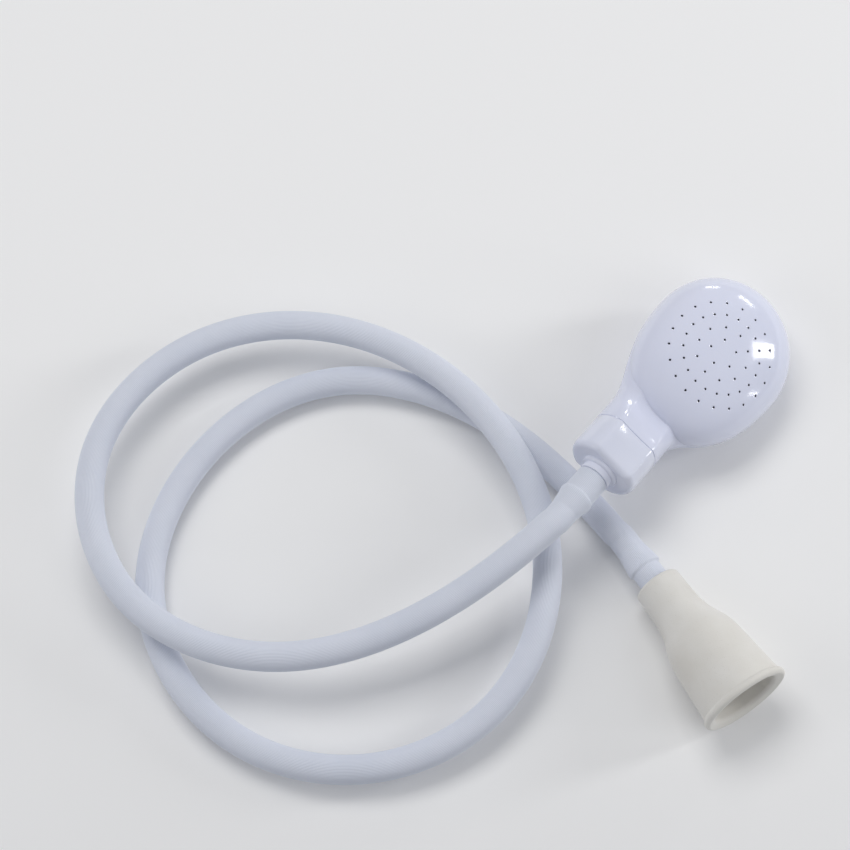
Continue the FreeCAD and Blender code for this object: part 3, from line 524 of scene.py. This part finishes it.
def build_hose():
    tangents = unit(np.gradient(PATH, axis=0))
    sides = carried_sides(tangents)
    ups = np.cross(tangents, sides)
    angles = np.arange(HOSE_COLUMNS) * 2 * math.pi / HOSE_COLUMNS
    run = np.r_[0, np.cumsum(np.linalg.norm(np.diff(PATH, axis=0), axis=1))]
    # groove depth varies a little along the hose
    depth = 0.21 + 0.02 * np.sin(run / 37.0) + 0.01 * np.sin(run / 11.0 + 1.0)
    # 0 on a rib's crest and 1 at the bottom of the rib grooves: shapes the grooves and sets their
    # painted shade
    groove_and_shade = 0.5 - 0.5 * np.cos(angles * RIBS)
    radius = RADII[:, None] - depth[:, None] * groove_and_shade[None, :]
    outward = (np.cos(angles)[None, :, None] * sides[:, None, :]
               + np.sin(angles)[None, :, None] * ups[:, None, :])
    skin = PATH[:, None, :] + radius[..., None] * outward
    around = np.roll(skin, -1, axis=1) - np.roll(skin, 1, axis=1)
    normals = unit(np.cross(around, np.gradient(skin, axis=0)))
    radial = unit(skin - PATH[:, None, :])
    facing = np.sign((normals * radial).sum(-1).mean())
    normals *= facing

    last = len(CUTS) - 2
    for k, (first_station, last_station) in enumerate(zip(CUTS, CUTS[1:])):
        patches = Patches()
        stations = slice(first_station, last_station + 1)
        patches.add_grid(skin[stations], normals[stations], flip=facing < 0)
        skin_count = patches.count
        for wanted, end, way in ((k == 0, first_station, -1.0), (k == last, last_station, 1.0)):
            if not wanted:
                continue
            # cut end of the hose: flat annulus, then the bore
            axis = tangents[end] * way
            lip = PATH[end] + HOSE_BORE_R * radial[end]
            flat = np.repeat(axis[None], HOSE_COLUMNS, 0)
            inwards = -radial[end]
            flip = facing * way < 0
            patches.add_grid([skin[end], lip], [flat, flat], flip=flip)
            patches.add_grid([lip, lip - axis * HOSE_BORE_DEPTH], [inwards, inwards], flip=flip)
        piece = patches.build("hose_skin_%02d" % (k + 1), (HOSE_PVC,))
        # painted shade in the rib grooves, strongest at their bottoms, stored on the skin's points
        # only
        tone_and_shade = np.zeros(patches.count, np.float32)
        tone_and_shade[:skin_count] = np.tile(GROOVE_SHADE * groove_and_shade, skin_count // HOSE_COLUMNS)
        piece.data.attributes.new("groove_and_shade", "FLOAT", "POINT").data.foreach_set("value", tone_and_shade)

        if k == 24:
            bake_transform(piece)
        else:
            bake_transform(piece)
        replaced = []
        if k < last:
            replaced.append("hose_link_%02d" % (k + 1))
        if k == 0:
            replaced.append("hose_end_adapter")
        if k == last:
            replaced.append("hose_end_head")
        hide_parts(*replaced)


build_hose()

# ---------------------------------------------------------------- section of nut and neck
# round, with a hollow flat above and below
SECTION_R = 17.8
FLAT_HALF = 10.1  # half the flat's width
FLAT_MID = 14.0  # height of the flat's middle
FLAT_EDGE = math.sqrt(SECTION_R ** 2 - FLAT_HALF ** 2)
FAR = 40.0  # stands for "no flat in this direction"
THREAD_PITCH = 1.814


def section_radius(angle):
    """Distance from the axis to the surface in direction angle, measured from local y."""
    cos, sin = np.cos(angle), np.abs(np.sin(angle))
    meets_flat = sin > 0.45
    safe_sin = np.maximum(sin, 0.2)
    flat = np.where(meets_flat, FLAT_MID / safe_sin, FAR)
    for _ in range(12):
        rise = np.clip((flat * cos / FLAT_HALF) ** 2, 0, 1.6)
        height = FLAT_MID + (FLAT_EDGE - FLAT_MID) * rise
        flat = np.where(meets_flat, height / safe_sin, FAR)
    return smooth_min(flat, SECTION_R, 0.9)


# ---------------------------------------------------------------- coupling nut
NUT_LENGTH = 19.6
NUT_ROUND = 3.2  # rounding of the edge at the hose end
NUT_COLUMNS = 240
FILLET_R = 9.8  # where the end face meets the collar's fillet
NUT_FLOOR = 2.0  # x where the bore starts
NUT_MOUTH_R = 11.1
COLLAR_R = 8.0
COLLAR_FACE = -5.0
COLLAR_BORE_R = 5.62


def build_nut():
    angles = circle_angles(NUT_COLUMNS)
    section = section_radius(angles)
    mouth_edge = (NUT_LENGTH, section - 0.45)
    outer = [mouth_edge, (NUT_LENGTH - 0.12, section - 0.16), (NUT_LENGTH - 0.5, section),
             (12.0, section), (6.0, section)]
    for i in range(13):
        turn = math.pi / 2 * i / 12
        outer.append((NUT_ROUND * (1 - math.sin(turn)),
                      section - NUT_ROUND * (1 - math.cos(turn))))
    outer += [(0.0, (section - NUT_ROUND) * share + FILLET_R * (1 - share))
              for share in (0.8, 0.6, 0.4, 0.2, 0.0)]

    fillet = arc((0.0, FILLET_R), (-1.27, 9.27), (-1.8, COLLAR_R), 8)
    collar_side = [(0.0, FILLET_R), *fillet[1:], (-4.55, COLLAR_R), (-4.87, 7.87),
                   (COLLAR_FACE, 7.55)]
    collar_face = [(COLLAR_FACE, 7.55), (COLLAR_FACE, 6.0)]
    collar_bore = [(COLLAR_FACE, 6.0), (-4.85, 5.75), (-4.5, COLLAR_BORE_R),
                   (NUT_FLOOR, COLLAR_BORE_R)]
    floor_face = [(NUT_FLOOR, COLLAR_BORE_R), (NUT_FLOOR, 10.2)]

    thread = []
    for i in range(91):
        x = NUT_FLOOR + (NUT_LENGTH - 0.9 - NUT_FLOOR) * i / 90
        thread.append((x, 10.45 + 0.16 * np.cos(2 * math.pi * x / THREAD_PITCH - angles)))
    mouth = (NUT_LENGTH, NUT_MOUTH_R)
    runs = [outer, collar_side, collar_face, collar_bore, floor_face,
            thread + [mouth], [mouth, mouth_edge]]
    nut = turned("coupling_nut_body", runs, angles, HEAD_FRAME, NUT_GLOSS)
    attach(nut, "nut")
    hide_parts("coupling_nut")
    return nut


nut = build_nut()

# ---------------------------------------------------------------- head outline
# an egg drawn out towards the neck; u and v are x and y measured from its centre
CENTRE_X, CENTRE_Y = 88.30, -5.08
HALF_WIDTH = 36.89
TIP_LENGTH, TIP_POWER = 38.34, 2.0
BACK_LENGTH, BACK_POWER = 51.5, 2.3
HALF_THICKNESS = 21.0
ARCH = 2.35  # power of the dome's curve from edge to top
SPLIT = -2.0  # z of the face shell's lower edge


def plan_radius(u, v, shrink=0.0):
    """1 on the outline, less inside, and the slopes with u and v."""
    width = HALF_WIDTH - shrink
    tip = u >= 0
    length = np.where(tip, TIP_LENGTH, BACK_LENGTH) - shrink
    power = np.where(tip, TIP_POWER, BACK_POWER)
    along, across = np.abs(u) / length, np.abs(v) / width
    rho = (along ** power + across ** power) ** (1 / power)
    scale = np.maximum(rho, 1e-6) ** (1 - power)
    slope_u = scale * along ** (power - 1) / length * np.sign(u)
    slope_v = scale * across ** (power - 1) / width * np.sign(v)
    return rho, slope_u, slope_v


def dome_height(rho):
    return HALF_THICKNESS * np.maximum(1 - np.clip(rho, 0, 1) ** ARCH, 0) ** (1 / ARCH)


def dome_normal(u, v, z):
    z = np.maximum(z, 1e-3)
    rho, slope_u, slope_v = plan_radius(u, v)
    scale = ARCH * np.maximum(rho, 1e-6) ** (ARCH - 1)
    slope_z = ARCH * (z / HALF_THICKNESS) ** (ARCH - 1) / HALF_THICKNESS
    return unit(np.stack([scale * slope_u, scale * slope_v, slope_z], -1))


def outline(angles):
    """Points of the outline in these directions from its centre."""
    cos, sin = np.cos(angles), np.sin(angles)
    rho = plan_radius(cos, sin)[0]
    return cos / rho, sin / rho


# ---------------------------------------------------------------- face shell with 55 nozzle holes
RIM_COLUMNS = 216
NOZZLE_X, NOZZLE_Y = 79.5, -4.0  # centre of the rings of holes
# rings of holes: radius, number of holes, direction of the first in degrees
NOZZLE_RINGS = [(26.2, 20, 51.0), (19.8, 20, 51.0), (13.3, 10, 69.0), (6.9, 5, 105.0)]
HOLE_R = 0.55
LIP_R = 1.0  # outside of the dimple round a hole
HOLE_COLUMNS = 20
DIMPLE = 0.16
HOLE_DEPTH = 1.7
EDGE = 0.90  # plan radius where the flat mesh gives way to the rim band
MESH_RINGS = (0.0, 0.05, 0.1, 0.15, 0.2, 0.25, 0.3, 0.35, 0.4, 0.45, 0.5, 0.55, 0.6, 0.65,
              0.7, 0.74, 0.78, 0.81, 0.84, 0.865)
SHELL_LIP = 0.4  # rounding of the lower edge
SHELL_WALL = 1.6


def hole_centres():
    centres = []
    for radius, number, first in NOZZLE_RINGS:
        for i in range(number):
            turn = math.radians(first - 360.0 * i / number)
            centres.append((NOZZLE_X - CENTRE_X + radius * math.cos(turn),
                            NOZZLE_Y - CENTRE_Y + radius * math.sin(turn)))
    return np.array(centres)


def plan_mesh(holes, hole_angles, rim_u, rim_v):
    """Triangles in plan inside EDGE, open at the holes: points and faces."""
    points, edges = [], []

    def add_loop(loop):
        start, count = len(points), len(loop)
        points.extend(loop)
        edges.extend((start + j, start + (j + 1) % count) for j in range(count))

    def hole_distance(x, y):
        return np.min(np.hypot(holes[:, 0] - x, holes[:, 1] - y))

    for rho in MESH_RINGS:
        count = 1
        if rho > 0:
            count = max(24, int(RIM_COLUMNS * min(1, rho * 1.25)) // 4 * 4)
        u, v = outline(circle_angles(count) + rho * 3)
        points += [(x, y) for x, y in zip(u * rho, v * rho)
                   if hole_distance(x, y) > LIP_R + 0.45]
    add_loop(list(zip(rim_u * EDGE, rim_v * EDGE)))
    for x, y in holes:
        for radius in (LIP_R + 0.22, LIP_R, 0.82, HOLE_R):
            add_loop([(x + radius * math.cos(t), y + radius * math.sin(t))
                      for t in hole_angles])

    result = delaunay_2d_cdt([Vector(p) for p in points], edges, [], 0, 1e-7)
    plan = np.array([(p.x, p.y) for p in result[0]])
    faces = []
    for face in result[2]:
        if hole_distance(*plan[list(face)].mean(0)) < HOLE_R - 0.03:
            continue
        a, b, c = plan[face[0]], plan[face[1]], plan[face[2]]
        if (b[0] - a[0]) * (c[1] - a[1]) - (b[1] - a[1]) * (c[0] - a[0]) < 0:
            face = (face[0], face[2], face[1])
        faces.append(tuple(face))
    return plan, faces


def build_face_shell():
    holes = hole_centres()
    hole_angles = circle_angles(HOLE_COLUMNS)
    rim_u, rim_v = outline(circle_angles(RIM_COLUMNS))
    patches = Patches()

    # dome, with a shallow dimple round each hole
    plan, faces = plan_mesh(holes, hole_angles, rim_u, rim_v)
    height = dome_height(plan_radius(plan[:, 0], plan[:, 1])[0])
    normals = dome_normal(plan[:, 0], plan[:, 1], height)
    gaps = np.hypot(plan[:, None, 0] - holes[None, :, 0], plan[:, None, 1] - holes[None, :, 1])
    gap = gaps.min(axis=1)
    height = height - DIMPLE * smooth_step((LIP_R + 0.02 - gap) / (LIP_R - HOLE_R))
    slope = np.where(gap < LIP_R - 0.02, 0.45, 0.0)
    away = plan - holes[gaps.argmin(axis=1)]
    away = away / np.maximum(np.linalg.norm(away, axis=1, keepdims=True), 1e-9)
    normals = unit(normals + np.c_[-slope[:, None] * away, np.zeros(len(plan))])
    patches.add(np.c_[plan, height], faces, normals)

    # rim band, down to the shell's lower edge
    rows, row_normals = [], []
    for rho in EDGE + (1 - EDGE) * (1 - (1 - np.linspace(0, 1, 15)) ** 2.2):
        z = np.full(RIM_COLUMNS, float(dome_height(rho)))
        rows.append(np.c_[rim_u * rho, rim_v * rho, z])
        row_normals.append(dome_normal(rim_u * rho, rim_v * rho, z))
    level = unit(np.c_[row_normals[-1][:, :2], np.zeros(RIM_COLUMNS)])
    row_normals[-1] = level

    def rim_row(inset, z):
        return np.c_[rim_u - level[:, 0] * inset, rim_v - level[:, 1] * inset,
                     np.full(RIM_COLUMNS, z)]

    rows.append(rim_row(0.0, -1.0))
    row_normals.append(level)
    # rounded lip and a return under the edge
    for degrees in (0, 30, 60, 90):
        cos, sin = math.cos(math.radians(degrees)), math.sin(math.radians(degrees))
        rows.append(rim_row(SHELL_LIP * (1 - cos), SPLIT + SHELL_LIP - SHELL_LIP * sin))
        row_normals.append(unit(level * cos + np.array([0, 0, -sin])))
    rows.append(rim_row(SHELL_WALL, SPLIT))
    row_normals.append(np.repeat([[0, 0, -1.0]], RIM_COLUMNS, 0))
    patches.add_grid(rows, row_normals, flip=True)
    # inside wall of the rim
    patches.add_grid([rim_row(SHELL_WALL, SPLIT), rim_row(1.8, SPLIT + 3.5)],
                     [-level, -level], flip=True)

    # hole walls and dark bottoms
    cos, sin = np.cos(hole_angles), np.sin(hole_angles)
    wall_normals = -np.c_[cos, sin, np.zeros(HOLE_COLUMNS)]
    middles = dome_height(plan_radius(holes[:, 0], holes[:, 1])[0])
    for (x, y), middle in zip(holes, middles):
        u, v = x + HOLE_R * cos, y + HOLE_R * sin
        top = np.c_[u, v, dome_height(plan_radius(u, v)[0]) - DIMPLE]
        bottom = np.c_[u, v, np.full(HOLE_COLUMNS, middle - HOLE_DEPTH)]
        patches.add_grid([top, bottom], [wall_normals, wall_normals], flip=True, slot=1)
        patches.add(bottom, [tuple(range(HOLE_COLUMNS))],
                    np.repeat([[0, 0, 1.0]], HOLE_COLUMNS, 0), slot=1)

    centre = along_axes(np.array([[CENTRE_X, CENTRE_Y, 0.0]]), HEAD_AXES, HEAD_FRAME[0])
    face = patches.build("face_shell_dome", (HEAD_GLOSS, NOZZLE_SHADOW), (centre, HEAD_AXES))
    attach(face, "head")
    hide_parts("face_shell")


build_face_shell()

# ---------------------------------------------------------------- back shell, neck and spigot
LEDGE = SPLIT - 0.3  # z of the ledge under the face shell's rim
NECK_START = 19.7
NECK_END = 96.0
LOW_COLUMNS, HIGH_COLUMNS = 150, 96  # below and above the ledge
NECK_BEVEL = 0.42
SPIGOT_START = 6.35
SPIGOT_R = 9.55
SPIGOT_BORE_R = 6.6
SPIGOT_COLUMNS = 128


def back_field(x, y, z):
    """Below zero inside the back shell and neck, roughly in millimetres near the surface."""
    over = smooth_step((z - LEDGE) / 8.0)
    shrink = np.where(z > LEDGE, 0.45 + 2.3 * over, 0.0)
    u, v = x - CENTRE_X, y - CENTRE_Y
    rho = plan_radius(u, v, shrink)[0]
    level = (rho ** ARCH + (np.abs(z) / (HALF_THICKNESS - shrink)) ** ARCH) ** (1 / ARCH)
    closeness = 1.0 / np.sqrt(np.maximum(u ** 2 + v ** 2 + z ** 2, 1e-6))
    bulb = (level - 1) / np.maximum(level * closeness, 1e-6)
    # the neck's upper half gets shallower towards the head, its keel runs out under the bowl
    share = smooth_step((x - 18.0) / 23.0)
    squeeze = np.where(z > 0, 1 - 0.54 * share, 1 - 0.05 * share)
    full_z = z / squeeze
    fade = smooth_step((x - 52.0) / 34.0)
    neck_radius = section_radius(np.arctan2(full_z, y)) * (1 - 0.55 * fade)
    distance = np.hypot(y, full_z)
    neck = (distance - neck_radius) * np.hypot(y, z) / np.maximum(distance, 1e-6)
    width = 1.2 + 10.5 * (1 - smooth_step((z + 3.0) / 9.0))
    return np.where(x > NECK_END, bulb, smooth_min(neck, bulb, width))


def bracket_surface(x, y, z, cos, sin, reach, steps):
    """Distances just inside and just outside the surface, going from y, z along cos, sin."""
    inside, outside = np.zeros_like(cos), np.full_like(cos, reach)
    x = np.full_like(cos, x)
    for _ in range(steps):
        middle = (inside + outside) / 2
        is_out = back_field(x, y + middle * cos, z + middle * sin) > 0
        outside = np.where(is_out, middle, outside)
        inside = np.where(is_out, inside, middle)
    return inside, outside


def surface_row(x, y, z, angles):
    """Surface points at x, seen from y, z in these directions."""
    cos, sin = np.cos(angles), np.sin(angles)
    distance = sum(bracket_surface(x, y, z, cos, sin, reach=52.0, steps=34)) / 2
    return np.stack([np.full(len(angles), x), y + distance * cos, z + distance * sin], -1)


def back_rows():
    """Rows of points along x, below and above the ledge."""
    tip = TIP_LENGTH - 0.02
    tip_turns = np.linspace(math.asin((97.2 - CENTRE_X) / TIP_LENGTH), math.pi / 2, 34)
    stations = np.r_[NECK_START + np.linspace(0, 1, 40) * (56 - NECK_START),
                     np.linspace(57, NECK_END, 36), CENTRE_X + tip * np.sin(tip_turns)]
    low, high = [], []
    for x in stations:
        share = float(smooth_step((x - 26) / 40.0))
        y, z = CENTRE_Y * share, (LEDGE - 1.2) * share
        # directions in which the surface crosses the ledge's height on both sides
        sides = np.array([1.0, -1.0])
        reach = bracket_surface(x, y, LEDGE - 1e-4, sides, np.zeros(2), reach=60.0, steps=40)[0]
        plus, minus = (math.atan2(LEDGE - z, end - y) for end in y + sides * reach)
        if minus < 0:
            minus += 2 * math.pi
        row = surface_row(x, y, z, np.linspace(minus, plus + 2 * math.pi, LOW_COLUMNS))
        row[:, 2] = np.minimum(row[:, 2], LEDGE)
        low.append(row)
        high.append(surface_row(x, y, z, np.linspace(plus, minus, HIGH_COLUMNS)))
    return np.array(low), np.array(high)


def grown(row, amount):
    """The row moved away from the local x axis."""
    radius = np.hypot(row[:, 1], row[:, 2])
    row = row.copy()
    row[:, 1:] *= ((radius + amount) / radius)[:, None]
    return row


def bevelled(rows):
    """The rows with a small bevel where the neck meets the nut."""
    end = grown(rows[0], -NECK_BEVEL)
    shoulder = grown(end, NECK_BEVEL - 0.06)
    shoulder[:, 0] += 0.28
    return np.concatenate([end[None], shoulder[None], rows[1:]])


def build_back_shell():
    low, high = map(bevelled, back_rows())
    patches = Patches()
    patches.add_grid(low, closed=False)
    patches.add_grid(high, closed=False)
    # the ledge under the face shell's rim
    patches.add_grid([low[:, -1], high[:, 0]], closed=False)
    patches.add_grid([low[:, 0], high[:, -1]], closed=False, flip=True)
    # end face of the neck round the spigot
    end_ring = np.concatenate([low[0], high[0]])
    inner_ring = end_ring.copy()
    inner_ring[:, 1:] *= (10.0 / np.hypot(end_ring[:, 1], end_ring[:, 2]))[:, None]
    patches.add_grid([end_ring, inner_ring], flip=True)

    # threaded spigot with its bore
    angles = circle_angles(SPIGOT_COLUMNS)
    turns = []
    for i in range(105):
        x = SPIGOT_START + (NECK_START + 0.3 - SPIGOT_START) * i / 104
        lead = smooth_step((x - SPIGOT_START) / 1.2) * smooth_step((19.2 - x) / 1.5)
        crest = 0.5 + 0.5 * np.cos(2 * math.pi * x / THREAD_PITCH - angles)
        turns.append(ring(x, SPIGOT_R + 0.55 * lead * crest, angles))
    patches.add_grid(turns, flip=True)
    end_face = [(SPIGOT_START, SPIGOT_R), (SPIGOT_START, SPIGOT_BORE_R)]
    bore = [(SPIGOT_START, SPIGOT_BORE_R), (30.0, 6.5), (30.0, 0.05)]
    for run in (end_face, bore):
        patches.add_grid([ring(x, radius, angles) for x, radius in run])

    back = patches.build("back_shell_neck", (HEAD_GLOSS,), HEAD_FRAME)
    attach(back, "head")
    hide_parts("back_shell")
    return back


back = build_back_shell()

# ---------------------------------------------------------------- faucet adapter: soft cup
# closed outline of the cup as (x, radius), from the hose end over the lip and back inside
ADAPTER_OUTLINE = joined(
    arc((0.0, 9.6), (0.55, 11.0), (2.4, 11.62), 8),
    line((2.4, 11.62), (15.0, 12.0), 5),
    arc((15.0, 12.0), (22.4, 13.0), (29.0, 15.3), 12),
    arc((29.0, 15.3), (34.6, 17.5), (41.0, 18.7), 12),
    line((41.0, 18.7), (67.0, 21.0), 10),
    arc((67.0, 21.0), (67.5, 21.12), (67.9, 21.55), 4),
    arc((67.9, 21.55), (69.6, 22.5), (71.2, 21.55), 10),
    arc((71.2, 21.55), (71.5, 20.9), (71.3, 20.2), 4),
    line((71.3, 20.2), (70.6, 18.0), 2),
    arc((70.6, 18.0), (69.7, 17.1), (67.5, 16.8), 5),
    line((67.5, 16.8), (57.0, 15.8), 3),
    arc((57.0, 15.8), (51.5, 14.1), (44.0, 12.0), 8),
    line((44.0, 12.0), (26.0, 12.0), 6),
) + [(25.4, 11.2), (23.6, 9.75), (18.05, 9.75), (18.05, 7.55), (10.0, 7.55), (0.6, 7.55),
     (0.0, 8.1), (0.0, 9.6)]


def soft_radius(x, radius, angles):
    """Very slight waviness that grows towards the thin mouth."""
    if radius <= 11.9 or x <= 45:
        return radius
    wave = 0.10 * smooth_step((x - 20) / 48.0)
    return radius + wave * (np.sin(2 * angles + 0.7) + 0.5 * np.sin(3 * angles + 2.0))


def build_adapter():
    angles = circle_angles(160)
    runs = [[(x, soft_radius(x, radius, angles)) for x, radius in run]
            for run in split_at_corners(ADAPTER_OUTLINE, degrees=40)]
    cup = turned("faucet_adapter_cup", runs, angles, ADAPTER_FRAME, ADAPTER_MATTE)
    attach(cup, "adapter")
    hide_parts("faucet_adapter")
    return cup


adapter = build_adapter()

# ---------------------------------------------------------------- CAD pieces that keep their shape
for node, surface, slot_name in (
        ("adapter_tail", TAIL_WHITE, "tail_plastic"),
        ("hose_tail_head", TAIL_WHITE, "tail_plastic"),
        ("sealing_washer", SEAL_BLACK, "seal_rubber"),
        ("head_seal", SEAL_BLACK, "seal_rubber")):
    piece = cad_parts[node]
    piece.data.materials.clear()
    piece.data.materials.append(surface)


def weld(obj):
    """Join the patches, point the normals outwards and mark corners over 34 degrees sharp."""
    bm = bmesh.new()
    bm.from_mesh(obj.data)
    bmesh.ops.remove_doubles(bm, verts=bm.verts, dist=1e-7)
    bmesh.ops.recalc_face_normals(bm, faces=bm.faces)
    for edge in bm.edges:
        if len(edge.link_faces) == 2 and edge.calc_face_angle(0) > math.radians(34):
            edge.smooth = False
    bm.to_mesh(obj.data)
    bm.free()


for built in (nut, back, adapter):
    weld(built)


# ---------------------------------------------------------------- floor, light and camera, metres
def build_floor(half=6):
    mesh = bpy.data.meshes.new("floor")
    corners = [(-half, -half, 0), (half, -half, 0), (half, half, 0), (-half, half, 0)]
    mesh.from_pydata(corners, [], [(0, 1, 2, 3)])
    obj = bpy.data.objects.new("floor", mesh)
    pale = bpy.data.materials.new("floor_pale")
    pale.use_nodes = True
    shader = pale.node_tree.nodes["Principled BSDF"]
    shader.inputs["Base Color"].default_value = (0.93, 0.93, 0.93, 1)
    shader.inputs["Roughness"].default_value = 0.9
    shader.inputs["Specular IOR Level"].default_value = 0.1
    mesh.materials.append(pale)
    bpy.context.scene.collection.objects.link(obj)
    return obj


def area(name, place, size, power, colour=(1, 1, 1), target=(0.0, 0.0, 0.0), mirror=False):
    """Rectangular light aimed at target; mirror lets it show in reflections."""
    light = bpy.data.lights.new(name, "AREA")
    light.shape = "RECTANGLE"
    light.size, light.size_y = size
    light.energy = power
    light.color = colour
    obj = bpy.data.objects.new(name, light)
    obj.location = place
    aim = Vector(target) - Vector(place)
    obj.rotation_euler = aim.to_track_quat("-Z", "Y").to_euler()
    bpy.context.scene.collection.objects.link(obj)
    obj.visible_glossy = mirror
    return obj


def panel(name, offset, size, power):
    """Small bright light, placed from the head, that makes highlights on head and nut."""
    head = (0.14, 0.085, 0.04)
    place = [h + o for h, o in zip(head, offset)]
    return area(name, place, size, power, target=head, mirror=True)


def build_camera():
    data = bpy.data.cameras.new("camera")
    data.sensor_width = 36.0
    data.lens = 85.55
    data.clip_start = 0.01
    data.clip_end = 20.0
    obj = bpy.data.objects.new("camera", data)
    obj.location = (-0.005819, -0.253907, 0.951911)
    obj.rotation_euler = (math.radians(18.0), 0.0, 0.0)
    bpy.context.scene.collection.objects.link(obj)
    bpy.context.scene.camera = obj


floor = build_floor()

world = bpy.data.worlds.new("soft")
bpy.context.scene.world = world
world.use_nodes = True
background = world.node_tree.nodes["Background"]
background.inputs["Color"].default_value = (0.93, 0.95, 1.0, 1)
background.inputs["Strength"].default_value = 0.30

lights = [
    area("key", place=(-0.25, 0.55, 1.15), size=(0.9, 0.5), power=6.3, colour=(1.0, 0.99, 0.97)),
    area("fill", place=(0.9, -0.35, 0.9), size=(0.7, 0.7), power=2.0, colour=(0.97, 0.98, 1.0),
         target=(0.05, 0.0, 0.0)),
    area("left", place=(-0.95, -0.2, 0.7), size=(0.6, 0.6), power=1.5, colour=(0.98, 0.98, 1.0)),
    panel("window", offset=(0.905, 0.165, 0.36), size=(0.15, 0.46), power=2.4),
    panel("bar_a", offset=(0.23, 0.963, 0.145), size=(0.20, 0.045), power=0.5),
    panel("bar_b", offset=(0.672, 0.706, 0.228), size=(0.20, 0.045), power=0.5),
    panel("dot", offset=(-0.957, -0.284, 0.062), size=(0.06, 0.06), power=0.25),
    panel("edge", offset=(0.937, -0.254, 0.24), size=(0.03, 0.20), power=0.22),
]
build_camera()
bpy.context.scene.view_settings.view_transform = "Standard"
bpy.context.scene.view_settings.look = "None"
